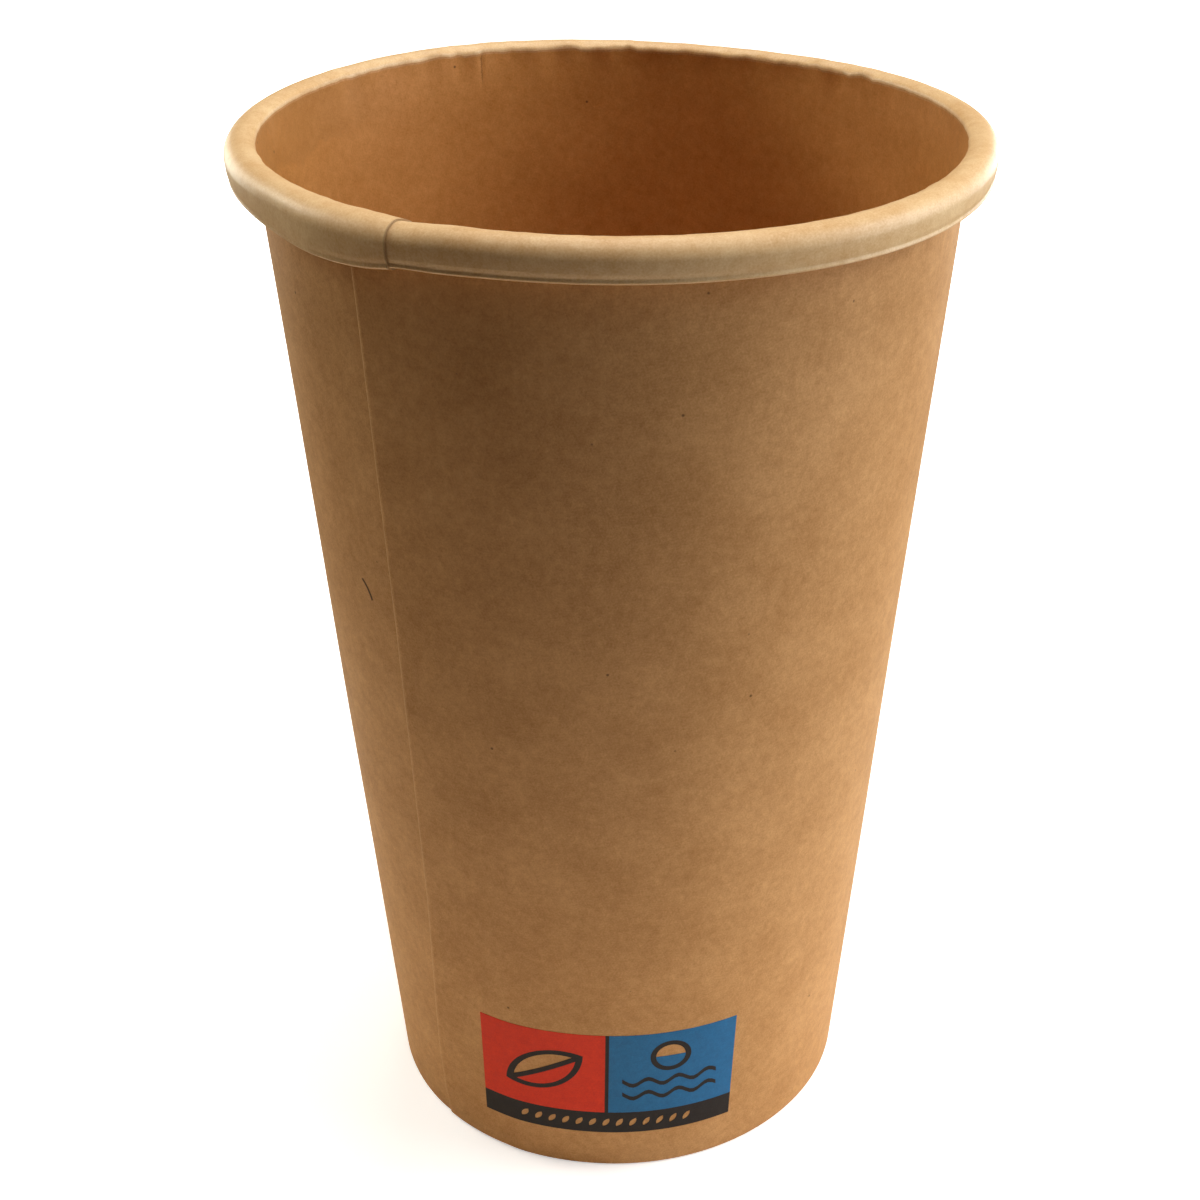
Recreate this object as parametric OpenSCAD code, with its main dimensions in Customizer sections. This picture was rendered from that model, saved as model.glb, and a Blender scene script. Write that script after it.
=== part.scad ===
// Paper cup of kraft board: a cone rolled from one blank, with a lapped side seam,
// a rolled rim and a folded foot, and a drawn disc that closes it as its floor.
// Origin at the middle of the foot ring, on the table, with +Z up the cup's axis.
// Angles go round the cup from the front (-Y) towards +X.

/* [Cup] */
// Height from the table to the top of the rim
cup_h = 134.5; // [90:0.5:180]
// Diameter over the rolled rim
rim_d = 90; // [80:0.5:110]
// Diameter of the wall at the foot
foot_d = 63.4; // [56:0.2:70]

/* [Board] */
// Thickness of the sidewall board
board_t = 0.4; // [0.3:0.05:0.5]
// Thickness of the floor's board
base_t = 0.35; // [0.3:0.05:0.45]

/* [Rolled rim] */
// Width of the roll
roll_w = 3.64; // [3.2:0.02:4.4]
// Depth of the roll, from its top to its lowest line
roll_h = 4.6; // [4.2:0.05:5.2]
// Radius of the lip tucked into the roll
tuck_r = 1.15; // [1:0.05:1.3]
// How far round the tucked lip turns, in degrees
tuck_turn = 120; // [60:5:150]
// Clearance between the lip and the seam
lip_gap = 0.08; // [0.05:0.01:0.15]

/* [Side seam] */
// How far the second layer stands proud once the seam is pressed
seam_step = 0.25; // [0.15:0.05:0.3]
// Place of the inner layer's edge, in degrees from the front
inner_edge = -30.4; // [-36:0.1:-26]
// Place of the outer layer's edge at mid height, in degrees from the front
outer_edge = -44; // [-50:0.1:-41]
// Lean of the outer layer's edge from upright, in degrees
outer_lean = 2.1; // [0:0.1:2.5]
// Height above the table at which the second layer leaves the foot's fold
seam_low = 1; // [0.8:0.1:2]
// How much less of the tucked lip the second layer has, in degrees
seam_short = 20; // [10:1:40]

/* [Foot] */
// Height of the folded hem
hem_h = 7.2; // [5:0.1:8]
// Inner radius of the fold's two corners
fold_r = 0.1; // [0.08:0.01:0.12]
// Slack between the hem and the floor's skirt
hem_slack = 0.15; // [0.15:0.01:0.25]
// Height of the cup's floor above the table
floor_z = 9.2; // [9.2:0.1:14]
// Bend radius round the floor's edge
floor_bend = 0.9; // [0.6:0.05:1.2]
// Height of the skirt's lower edge above the table
skirt_z = 1; // [0.9:0.05:2]

/* [Printed panel] */
// Height of the panel's lower edge above the table
panel_low = 6.5; // [5:0.1:30]
// Height of the coloured fields
field_h = 14.2; // [13.5:0.1:18]
// Height of the dark band under them
band_h = 3.85; // [3:0.05:5]
// Width round the cup of the panel's top edge
panel_w = 35.2; // [33:0.1:38]
// Width round the cup of the panel's lower edge
panel_w_low = 34.4; // [33:0.1:38]
// Place round the cup of the middle of its top edge
panel_mid = -1.5; // [-3:0.1:3]
// Place round the cup of the middle of its lower edge
panel_mid_low = -1.8; // [-3:0.1:3]
// Width of the dark line between the fields
split_w = 0.5; // [0.3:0.05:1]
// Thickness of the ink film
ink_t = 0.05; // [0.03:0.01:0.1]

/* [Motifs] */
// Clearance between the leaf's tips and the sides of the left field
leaf_gap = 3.1; // [2.6:0.1:5]
// Lean of the leaf, in degrees
leaf_lean = 32; // [0:1:40]
// Width of the leaf
leaf_w = 6.4; // [4:0.1:7]
// Line width of the drawn motifs
line_w = 0.75; // [0.5:0.05:1]
// Outer radius of the ring in the right field
ring_r = 2.7; // [1.8:0.1:3]
// Clearance between the waves' ends and the sides of the right field
wave_gap = 2; // [1.5:0.1:4]
// Height of a wave, crest over middle
wave_amp = 0.55; // [0.3:0.05:0.7]
// Length of one wave
wave_pitch = 4; // [3:0.1:6]
// Marks in the band
mark_count = 13; // [5:1:15]
// Distance from mark to mark
mark_pitch = 1.8; // [1.5:0.05:2]
// Length of a mark
mark_l = 1.7; // [1:0.05:2]
// Width of a mark
mark_w = 0.75; // [0.4:0.05:1]

/* [Hidden] */

KRAFT = [0.78, 0.61, 0.41];
KRAFT_FLOOR = [0.72, 0.56, 0.37];
RED = [0.82, 0.22, 0.15];
BLUE = [0.12, 0.36, 0.60];
DARK = [0.16, 0.15, 0.16];

// Steps in a quarter turn of a wide bend, and of a tight fold
BEND_STEPS = 8;
FOLD_STEPS = 4;
// Length that reaches clear of the cup
FAR = rim_d + cup_h;
// How far a cutting block or a film runs past what it trims
PAST = 1;
// Turn that a stretch of board runs past its ends before it is trimmed
TRIM_TURN = 6;
// How far round from the front the panel can reach, in degrees
FILM_TURN = 60;

foot_r = foot_d / 2;
roll_r = roll_w / 2;
panel_top = panel_low + band_h + field_h;
band_top = panel_low + band_h;

// Slope of the wall: its outer face leaves the foot and runs up inside the top bend of the roll
to_roll = [rim_d / 2 - roll_r - foot_r, cup_h - roll_r];
wall_a = atan2(to_roll[0], to_roll[1]) - asin((roll_r - board_t) / norm(to_roll));

// Radius of a line that runs parallel to the wall's outer face, in from it by inset, at height z
function wall_r(z, inset = 0) = foot_r + z * tan(wall_a) - inset / cos(wall_a);

// Stations of a section lie on the face that ends up inside the cup, as [point, direction to the other face]
function bend(centre, r, from, to, side, quarter = BEND_STEPS) =
    let (steps = ceil(abs(to - from) / 90 * quarter))
    [for (i = [0:steps])
        let (a = from + (to - from) * i / steps, u = [cos(a), sin(a)])
        [centre + r * u, side * u]];

// Centre of a bend of radius r whose round side runs into the wall's inner face
function roll_centre(r) = [wall_r(cup_h - r, board_t - r), cup_h - r];

// Roll, from the wall round to the lip, which is tucked in behind it by the given turn
function roll_stations(tuck_turn) =
    let (
        top = roll_centre(roll_r),
        out = top[0] + roll_r,
        lip = wall_r(cup_h - roll_h / 2) + seam_step + lip_gap,
        low_r = (out - lip) / 2,
        low = [out - low_r, cup_h - roll_h + low_r],
        tuck = [lip + tuck_r, low[1]]
    )
    concat(
        bend(top, roll_r, 180 - wall_a, 0, -1),
        bend(low, low_r, 0, -180, -1),
        bend(tuck, tuck_r, 180, 180 - tuck_turn, -1)
    );

fold_in = board_t + base_t + hem_slack;
fold_top = board_t + fold_r;

// Hem, foot ring, and the bend that turns the ring up into the wall
function foot_stations() =
    concat(
        [[[wall_r(hem_h, fold_in), hem_h], [-cos(wall_a), sin(wall_a)]]],
        bend([wall_r(fold_top, fold_in - fold_r), fold_top], fold_r, 180 - wall_a, 270, 1, FOLD_STEPS),
        bend([wall_r(fold_top, fold_top), fold_top], fold_r, -90, -wall_a, 1, FOLD_STEPS)
    );

// Section between two depths of the board, counted from the face that ends up inside the cup
function section(stations, from, to) =
    let (last = len(stations) - 1)
    concat(
        [for (s = stations) s[0] + from * s[1]],
        [for (i = [last:-1:0]) stations[i][0] + to * stations[i][1]]
    );

// Trims off what lies past an upright plane through the axis: side 1 keeps the part
// counterclockwise of it, -1 the clockwise part. The plane leans about its level line
module trimmed(at, side, lean = 0) {
    block_w = rim_d / 7;
    difference() {
        children();
        translate([0, 0, cup_h / 2])
            rotate([0, 0, at - 90])
            rotate([-lean, 0, 0])
            translate([0, side < 0 ? 0 : -block_w, -FAR])
            cube([FAR, block_w, 2 * FAR]);
    }
}

// Section turned about the cup's axis, past both ends of its stretch
module turned(from, to) {
    rotate([0, 0, from - TRIM_TURN - 90])
        rotate_extrude(angle = to - from + 2 * TRIM_TURN, $fn = 180) children();
}

module sidewall() {
    seam = concat(
        [[[wall_r(seam_low, board_t), seam_low], [cos(wall_a), -sin(wall_a)]]],
        roll_stations(tuck_turn - seam_short)
    );
    color(KRAFT) {
        rotate_extrude($fn = 180)
            polygon(section(concat(foot_stations(), roll_stations(tuck_turn)), 0, board_t));
        trimmed(inner_edge, -1) trimmed(outer_edge, 1, outer_lean)
            turned(outer_edge, inner_edge)
            polygon(section(seam, board_t / 2, board_t + seam_step));
    }
}

module base_disc() {
    bend_z = floor_z - floor_bend;
    turn = bend([wall_r(bend_z, board_t + floor_bend), bend_z], floor_bend, -wall_a, 90, -1);
    skirt_end = [[wall_r(skirt_z, board_t), skirt_z], [-cos(wall_a), sin(wall_a)]];
    middle = [[0, floor_z], [0, -1]];
    color(KRAFT_FLOOR)
        rotate_extrude($fn = 180)
        polygon(section(concat([skirt_end], turn, [middle]), 0, base_t));
}

// Ink film on the wall's outer face, over the height of the panel
module ink_film() {
    function strip(out) = [
        for (p = [[0, -PAST], [ink_t, -PAST], [ink_t, PAST], [0, PAST]])
            let (z = p[1] < 0 ? panel_low + p[1] : panel_top + p[1])
            [wall_r(z, -p[0]) + out, z]
    ];
    trimmed(inner_edge, 1) turned(inner_edge, FILM_TURN) polygon(strip(0));
    trimmed(inner_edge, -1) turned(-FILM_TURN, inner_edge) polygon(strip(seam_step));
}

// Flat shape, drawn as seen from the front, carried back onto the ink film
module printed() {
    intersection() {
        ink_film();
        rotate([90, 0, 0]) linear_extrude(height = foot_d) children();
    }
}

// Front view's x of a place measured round the wall from the front, at height z
function front_x(round, z) = wall_r(z) * sin(round / wall_r(z) * 180 / PI);
// Middle and half width of the panel at height z
function panel_at(low, top, z) = low + (top - low) * (z - panel_low) / (panel_top - panel_low);
function mid_at(z) = panel_at(panel_mid_low, panel_mid, z);
function half_at(z) = panel_at(panel_w_low, panel_w, z) / 2;

// Part of the panel between two heights and two shares of its width, from -1 to 1
module panel_part(z0, z1, side0, side1, in0 = 0, in1 = 0) {
    polygon([
        [front_x(mid_at(z0) + side0 * half_at(z0), z0) + in0, z0],
        [front_x(mid_at(z0) + side1 * half_at(z0), z0) - in1, z0],
        [front_x(mid_at(z1) + side1 * half_at(z1), z1) - in1, z1],
        [front_x(mid_at(z1) + side0 * half_at(z1), z1) + in0, z1]
    ]);
}

// Front view of the two fields at mid height: left side, split and right side
field_z = (band_top + panel_top) / 2;
field_x = [for (side = [-1, 0, 1]) front_x(mid_at(field_z) + side * half_at(field_z), field_z)];
left_x = (field_x[0] + field_x[1]) / 2;
right_x = (field_x[1] + field_x[2]) / 2;
leaf_l = (field_x[1] - field_x[0] - 2 * leaf_gap) / cos(leaf_lean);
wave_l = field_x[2] - field_x[1] - 2 * wave_gap;

module lens(l, w) {
    r = (l * l + w * w) / (4 * w);
    intersection() {
        translate([0, r - w / 2]) circle(r = r, $fn = 96);
        translate([0, w / 2 - r]) circle(r = r, $fn = 96);
    }
}

module leaf_inner() {
    lens(leaf_l - 3 * line_w, leaf_w - 2 * line_w);
}

// Outline of the leaf with its midrib
module leaf_lines() {
    translate([left_x, field_z]) rotate(leaf_lean) {
        difference() {
            lens(leaf_l, leaf_w);
            leaf_inner();
        }
        square([leaf_l - 2 * line_w, line_w], center = true);
    }
}

// Half of the leaf that is left bare
module leaf_bare() {
    translate([left_x, field_z]) rotate(leaf_lean) intersection() {
        leaf_inner();
        translate([-leaf_l / 2, line_w / 2]) square([leaf_l, leaf_w]);
    }
}

module ring_place() {
    translate([right_x, field_z + 0.2 * field_h]) children();
}

module wave() {
    step = wave_pitch / 8;
    crest = [for (x = [-wave_l / 2 : step : wave_l / 2 + step / 4])
        [x, wave_amp * sin(360 * x / wave_pitch)]];
    last = len(crest) - 1;
    polygon(concat(
        [for (p = crest) p + [0, line_w / 2]],
        [for (i = [last:-1:0]) crest[i] - [0, line_w / 2]]
    ));
}

// Ring over two waves
module water_lines() {
    ring_place() difference() {
        circle(r = ring_r, $fn = 64);
        circle(r = ring_r - line_w, $fn = 64);
    }
    for (i = [1, 2])
        translate([right_x, field_z + (0.06 - 0.17 * i) * field_h]) wave();
}

module ring_bare() {
    ring_place() intersection() {
        circle(r = ring_r - line_w, $fn = 64);
        translate([-ring_r, 0]) square([2 * ring_r, ring_r]);
    }
}

module marks() {
    for (i = [0:mark_count - 1])
        translate([front_x(mid_at(panel_low), panel_low) + (i - (mark_count - 1) / 2) * mark_pitch,
                   panel_low + band_h / 2])
            rotate(60) lens(mark_l, mark_w);
}

module print_red() {
    color(RED) printed() difference() {
        panel_part(band_top, panel_top, -1, 0, 0, split_w / 2);
        leaf_lines();
        leaf_bare();
    }
}

module print_blue() {
    color(BLUE) printed() difference() {
        panel_part(band_top, panel_top, 0, 1, split_w / 2, 0);
        water_lines();
        ring_bare();
    }
}

module print_dark() {
    color(DARK) printed() {
        difference() {
            panel_part(panel_low, band_top, -1, 1);
            marks();
        }
        panel_part(band_top, panel_top, 0, 0, -split_w / 2, -split_w / 2);
        leaf_lines();
        water_lines();
    }
}

sidewall();
base_disc();
print_red();
print_blue();
print_dark();
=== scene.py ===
# %% [markdown]
# # A kraft paper cup
# The cup is one fan-shaped blank of brown board, rolled into a cone and glued along a side seam.
# Its top edge is curled outward into a rim and its bottom edge is folded in round a floor disc.
# The packed model holds those pieces at their real places, so the scene starts by loading it.

# %% Load the packed cup
import math

import bmesh
import bpy
import numpy as np
from mathutils import Matrix, Vector
from mathutils.geometry import tessellate_polygon


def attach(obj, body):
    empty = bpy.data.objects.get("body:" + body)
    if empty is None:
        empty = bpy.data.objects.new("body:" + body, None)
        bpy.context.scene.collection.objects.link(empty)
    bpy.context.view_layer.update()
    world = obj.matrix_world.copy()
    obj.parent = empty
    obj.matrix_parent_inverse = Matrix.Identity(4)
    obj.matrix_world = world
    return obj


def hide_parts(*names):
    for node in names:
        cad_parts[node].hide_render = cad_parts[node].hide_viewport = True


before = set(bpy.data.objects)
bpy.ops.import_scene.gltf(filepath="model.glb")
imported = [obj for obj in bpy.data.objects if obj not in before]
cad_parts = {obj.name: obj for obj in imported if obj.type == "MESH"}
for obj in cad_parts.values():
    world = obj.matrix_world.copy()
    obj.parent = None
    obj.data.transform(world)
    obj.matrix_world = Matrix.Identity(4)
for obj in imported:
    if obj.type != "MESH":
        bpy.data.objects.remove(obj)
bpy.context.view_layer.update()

MM = 0.001
print("nodes:", sorted(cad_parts))

# %% [markdown]
# ## Sizes of the real cup
# A maker knows a cup by its height, its rim and foot diameters and the weight of its board. The
# wall's slope isn't chosen: it follows from the foot and from where the wall runs up into the roll.
# Repeating the sizes as names keeps every piece below tied to the same cup.

# %% Sizes, in millimetres and degrees
CUP_H = 134.5
RIM_D = 90.0
FOOT_R = 63.4 / 2
BOARD = 0.4
BASE_BOARD = 0.35
ROLL_R = 3.64 / 2
ROLL_H = 4.6
TUCK_R = 1.15
TUCK_TURN = 120
SEAM_STEP = 0.25
LIP_GAP = 0.08
HEM_H = 7.2
FOLD_R = 0.1
HEM_SLACK = 0.15
OUTER_EDGE, INNER_EDGE = -45, -30.4
PLY = (BOARD + SEAM_STEP) / 2

to_roll = (RIM_D / 2 - ROLL_R - FOOT_R, CUP_H - ROLL_R)
SLOPE = math.atan2(*to_roll) - math.asin((ROLL_R - BOARD) / math.hypot(*to_roll))


def wall_r(z, inset=0.0):
    """Radius of the wall's outer face at height z, or of a face that lies inset from it."""
    return FOOT_R + z * math.tan(SLOPE) - inset / math.cos(SLOPE)


print("wall leans", round(math.degrees(SLOPE), 2), "degrees, one ply of the seam is", PLY, "mm")

# %% [markdown]
# ## How the board changes as it goes round
# Angles go round from the front. The blank starts at its outer free edge in the front left, goes once
# round, and ends under its own beginning. A plain turned cup would miss this, so each quantity is a
# soft step or a soft hump of the angle: how far the top ply rides on the lower one, how thick the
# pressed ply is, how much fatter and lower the rim is where two plies are curled together.


# %% Soft steps and humps
def soft_step(x, start, end):
    t = np.clip((np.asarray(x, float) - start) / (end - start), 0, 1)
    return t * t * (3 - 2 * t)


def hump(x, middle, left, right):
    """1 in the middle, with a soft slope of its own width on each side."""
    x = np.asarray(x, float) - middle
    return np.exp(-0.5 * (x / np.where(x < 0, left, right)) ** 2)


def rides(turn, settle):
    """1 where the blank's start lies on its end, 0 once it has come down to the cup's own circle."""
    return 1 - soft_step(turn, INNER_EDGE, INNER_EDGE + settle)


def doubled(turn, settle):
    """1 where the roll or foot is shaped by two plies, for the blank's start and its end alike."""
    return np.maximum(rides(turn, settle), soft_step(turn, 306, 317))


def ply_thickness(turn):
    """Two plies are pressed thinner in the seam, so that the step outside is small."""
    start = soft_step(turn, INNER_EDGE, INNER_EDGE + 6)
    end = 1 - soft_step(turn, 316, 321)
    return PLY + (BOARD - PLY) * np.minimum(start, end)


def front_angle(turn):
    """The same direction as an angle between -180 and 180 from the front."""
    return (np.asarray(turn, float) + 180) % 360 - 180


print("plies curled together in the seam, in front and behind:",
      [round(1 + float(doubled(t, 9)), 2) for t in (-40, 0, 180)])

# %% [markdown]
# ## A rim that isn't quite level
# A paper rim gives a little wherever it was held, so the real one rises and falls by parts of a
# millimetre. A few heights round the rim, joined by soft runs, are enough. Near the seam, where two
# plies are curled, the roll also hangs lower. A lattice could bend the cup too, but plain numbers
# keep the outline easy to set against a photograph.

# %% Rise and sag of the rim
RIM_RISE = {-150: 0.45, -115: 0.2, -90: 0.0, -40: 0.1, 0: 0.0,
            40: -0.15, 90: 0.6, 125: 0.1, 155: -0.35, 180: 0.0}
RIM_SAG, SAG_TURN = 1.2, -41


def rim_rise(turn):
    """RIM_RISE joined round the whole rim and softened over 24 degrees."""
    places = sorted(RIM_RISE)
    values = [RIM_RISE[p] for p in places]
    at = [places[-1] - 360] + places + [places[0] + 360]
    values = [values[-1]] + values + [values[0]]
    spread = np.linspace(-12, 12, 9)
    angle = front_angle(turn)[:, None] + spread[None, :]
    return np.interp((angle + 180) % 360 - 180, at, values).mean(axis=1)


def rim_sag(turn):
    return RIM_SAG * hump(front_angle(turn), SAG_TURN, 12.5, 9.8)


print("rim rise at the right:", np.round(rim_rise(np.array([90.0])), 2))

# %% [markdown]
# ## The section of the board
# A station is a point on the face that ends up inside the cup, with the direction towards the board's
# other face. Arcs and straight runs of stations follow the board from the hem, round the foot, up
# the wall and round the curl to its tucked lip. One list of stations gives both faces of the board.
# The curl's upper half isn't a plain arc: the wall turns over in a tight corner, then bends easily.


# %% Arcs and the roll's top
def arc(centre, r, start, end, side, steps):
    a = np.radians(np.linspace(start, end, steps + 1))
    u = np.stack([np.cos(a), np.sin(a)], axis=1)
    return np.asarray(centre) + r * u, side * u


def roll_top(centre, r, start, corner=0.6, corner_turn=58, steps=26):
    """The roll's upper half: a tight corner where the wall turns over, then a bend that eases into r."""
    a = np.radians(np.linspace(start, 0, steps + 1))
    mid = (a[1:] + a[:-1]) / 2
    across = np.sin(mid) * -np.diff(a)
    tight = mid > np.radians(180 - corner_turn)
    easy = np.where(tight, 0, soft_step(np.degrees(mid), 20, 95))
    rest = 2 * r - corner * across[tight].sum() - r * (across * (1 - easy))[~tight].sum()
    bends = np.where(tight, corner, r * (1 - easy) + rest / (across * easy).sum() * easy)
    way = np.stack([np.sin(mid), -np.cos(mid)], axis=1) * (bends * -np.diff(a))[:, None]
    points = np.concatenate([[[0.0, 0.0]], np.cumsum(way, axis=0)])
    points += np.array([centre[0] + r - points[-1, 0], centre[1] + r - points[:, 1].max()])
    return points, -np.stack([np.cos(a), np.sin(a)], axis=1)


print("a quarter arc of 4 steps:", np.round(arc((0, 0), 1, 90, 0, -1, 4)[0][:, 0], 2))

# %% [markdown]
# ## From the hem to the lip
# The stations are laid once for each place round the cup, because where two plies lie together the
# curl is fatter and the foot's fold is higher. Spacing is close in the folds and the curl and wide on
# the wall, which is nearly straight.


# %% Stations along the board
LOWEST_WALL, HIGHEST_WALL = 1.2, CUP_H - 1.35
TILT = math.degrees(SLOPE)
OUT_DIR = np.array([math.cos(SLOPE), -math.sin(SLOPE)])


def foot_stations(lift):
    """The hem, the fold under the floor's skirt, and the bend up into the wall."""
    fold_in = BOARD + BASE_BOARD + HEM_SLACK
    fold_z = FOLD_R + BOARD + lift
    hem_z = np.linspace(HEM_H, fold_z + 0.6, 4)
    hem = np.stack([wall_r(hem_z, fold_in), hem_z], axis=1)
    return [(hem, np.tile(-OUT_DIR, (4, 1))),
            arc((wall_r(fold_z, fold_in - FOLD_R), fold_z), FOLD_R, 180 - TILT, 270, 1, 5),
            arc((wall_r(fold_z, BOARD + FOLD_R), fold_z), FOLD_R, -90, -TILT, 1, 5)]


def wall_stations():
    z = np.concatenate([np.linspace(LOWEST_WALL, 120, 30), np.linspace(122.5, HIGHEST_WALL, 6)])
    return np.stack([wall_r(z, BOARD), z], axis=1), np.tile(OUT_DIR, (36, 1))


def roll_stations(r, sag):
    """Over the top, round underneath, and up along the wall to the tucked lip."""
    centre = np.array([wall_r(CUP_H - r, BOARD - r), CUP_H - r])
    lip = wall_r(CUP_H - ROLL_H / 2) + SEAM_STEP + LIP_GAP
    low_r = (centre[0] + r - lip) / 2
    low = (lip + low_r, CUP_H - ROLL_H - sag + low_r)
    tuck, tuck_dir = arc((lip + TUCK_R, low[1]), TUCK_R, 180, 180 - TUCK_TURN, -1, 10)
    return [roll_top(centre, r, 180 - TILT), arc(low, low_r, 0, -180, -1, 36), (tuck[1:], tuck_dir[1:])]


def stations(roll_double, foot_double, sag):
    """All points and directions of one column, for 0 to 1 of a second ply in roll and foot."""
    parts = foot_stations(PLY * foot_double) + [wall_stations()]
    parts += roll_stations(ROLL_R + SEAM_STEP * roll_double, sag)
    return np.concatenate([p for p, _ in parts]), np.concatenate([d for _, d in parts])


flat_points, flat_dirs = stations(0, 0, 0)
path = np.concatenate([[0], np.cumsum(np.linalg.norm(np.diff(flat_points, axis=0), axis=1))])
# Stations before the wall, before the roll, and before the roll's lower half
N_FOOT, N_WALL, LOW_ROLL = 16, 52, 79
print(len(path), "stations, blank height", round(path[-1], 1), "mm")

# %% [markdown]
# ## Turning the section into a sheet
# Columns of stations stand round the cup, close together at the two cut edges and at the crease in
# the back. The free edge of the seam isn't upright: it bows and leans, as a hand-fed blank does, so
# the first columns are drawn towards that edge later on.


# %% Columns round the cup
EDGE_HEIGHTS = (14, 40, 83.5, 125)
EDGE_TURNS = (-47.9, -44.4, -42.2, -41.2)
CREASE_TURN = 205.5


def edge_turn(z):
    return np.interp(z, EDGE_HEIGHTS, EDGE_TURNS)


def columns():
    """Turns of all columns, from the free edge once round to the end below it."""
    steps = [np.linspace(0, 1, 9) ** 1.5 * 9 + OUTER_EDGE, np.arange(-35, INNER_EDGE, 1.2)]
    steps += [INNER_EDGE + np.array([-0.05, 0.25, 0.7, 1.3, 2.1]), np.arange(-27, 203, 1.5)]
    steps += [CREASE_TURN + np.array([-1.6, -1, -0.6, -0.3, 0, 0.3, 0.6, 1, 1.6])]
    steps += [np.arange(208.5, 310, 1.5), np.arange(310, 329, 0.9), [329.3, 360 + INNER_EDGE]]
    return np.unique(np.round(np.concatenate(steps), 3))


turns = columns()
print(len(turns), "columns from", turns[0], "to", turns[-1], "degrees")

# %% [markdown]
# ## Small irregularities
# Board that has been handled isn't a perfect cone. It peaks along the stiff double seam, swells in
# long waves, and crimps where the wall turns over into the roll, most of all in the back. Lower down
# the roll is pinched, and its lower edge flares. All these are moves of the sheet's own points and
# not bump, because they change the outline and the light on it. Sums of a few sines are enough, and
# they close on themselves after one turn.


# %% Ridge, waves, crimps and pinch
RIDGE, RIDGE_W = 0.3, 8.0


def seam_ridge(turn, z):
    """Two plies are too stiff to bend evenly, so the wall peaks in a low ridge along the free edge."""
    off = abs(front_angle(turn) - edge_turn(z)) * np.radians(wall_r(z))
    return RIDGE * np.clip(1 - off / RIDGE_W, 0, 1) ** 2 * soft_step(z, 0.5, 4)


def waves(turn, counts, shift):
    """A few sines that close after one turn, together never more than 1."""
    a = np.radians(turn)
    return sum(np.sin(n * a + shift + 1.7 * n) / len(counts) for n in counts)


def wall_wave(turn, z):
    soft = soft_step(z, 34, 62) * (1 - 0.5 * soft_step(z, 118, 130))
    return 0.045 * soft * (np.sin(np.radians(5 * turn) + z / 19) + np.sin(np.radians(8 * turn) - z / 27 + 2))


def rim_wave(turn, s_path):
    """Inward moves of the roll: crimps where the wall turns over, a crease, and a pinch low down."""
    at_turn = hump(s_path, path[N_WALL] + 0.6, 1.6, 1.5)
    back = 0.06 + 0.3 * soft_step(abs(front_angle(turn)), 95, 140)
    crimp = back * waves(turn, (31, 43, 57), 0.4) + 0.03 * waves(turn, (83, 97), 1.1)
    crease = -0.14 * hump(turn, CREASE_TURN, 0.35, 0.6) * hump(s_path, path[N_WALL] - 0.4, 1.9, 0.8)
    pinch = 0.26 * hump(s_path, path[LOW_ROLL] + 0.6, 0.62, 0.24)
    pinch -= 0.2 * hump(s_path, path[LOW_ROLL] + 1.25, 0.22, 0.3)
    return at_turn * crimp + crease + pinch * (0.75 + 0.25 * soft_step(front_angle(turn), -20, 40))


def edge_crimp(turn, s_path):
    """The corner where the wall turns over isn't level: in the back it rises and falls in short waves."""
    back = 0.05 + 0.26 * soft_step(abs(front_angle(turn)), 95, 130)
    uneven = 0.6 + 0.5 * waves(turn, (5, 8, 13), 0.7)
    short = waves(turn, (29, 43, 67), 0.8) + waves(turn, (97, 131), 2.0) / 2
    return back * uneven * hump(s_path, path[N_WALL] + 0.5, 1.3, 0.9) * short


print("crimps reach", round(max(abs(edge_crimp(t, path)).max() for t in turns), 2), "mm")

# %% [markdown]
# ## Both faces of the board
# Each column's stations are moved by the irregularities and pushed out by the ply below. Then the
# other face is set off by the ply's thickness. At its end the board is skived, which means pared
# thin so that the step is small, and the free edge is slightly rounded.


# %% Faces of the board
SKIVED, ROUNDED = 0.12, 0.13
END_LEAN = 1.0
ROLL_SETTLE, WALL_SETTLE = 9.0, 25.0


def board_faces(turns):
    """Both faces of the board as points (column, station, xyz in mm)."""
    inner, outer, placed = [], [], []
    rise, sag = rim_rise(turns), rim_sag(turns)
    over_corner = soft_step(path, path[N_WALL] - 6, path[N_WALL])
    over_corner *= 1 - soft_step(path, path[N_WALL] + 0.2, path[N_WALL] + 2)
    for i, turn in enumerate(turns):
        roll_double, wall_double = (float(doubled(turn, settle)) for settle in (ROLL_SETTLE, WALL_SETTLE))
        points, dirs = stations(roll_double, wall_double, float(sag[i]))
        share = soft_step(points[:, 1], 112, 129)
        ride = rides(turn, WALL_SETTLE) * (1 - share) + rides(turn, ROLL_SETTLE) * share
        thick = float(ply_thickness(turn))
        z = points[:, 1]
        pull = float(1 - soft_step(turn, OUTER_EDGE, -36))
        at = turn + pull * (edge_turn(z) - OUTER_EDGE)
        at += END_LEAN * float(soft_step(turn, 318, 329)) * over_corner
        on_wall = (flat_dirs[:, 0] > 0.9) * (1 - soft_step(z, 128, 131))
        moved_out = (wall_wave(at, z) + seam_ridge(at, z)) * on_wall - rim_wave(turn, path)
        moved_up = rise[i] * soft_step(z, 70, 128) + edge_crimp(turn, path)
        points = points + np.stack([moved_out, moved_up], axis=1)
        end = SKIVED * soft_step(turn, 325.5, 329.4) * share
        near = points + (PLY * ride + end)[:, None] * dirs
        far = near + (thick - end)[:, None] * dirs
        if i == 0:
            far -= ROUNDED * dirs
        x, y = np.sin(np.radians(at)), -np.cos(np.radians(at))
        for face, store in ((near, inner), (far, outer)):
            store.append(np.stack([face[:, 0] * x, face[:, 0] * y, face[:, 1]], axis=1))
        placed.append(np.stack([at, z], axis=1))
    return np.array(inner), np.array(outer), np.array(placed)


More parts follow.
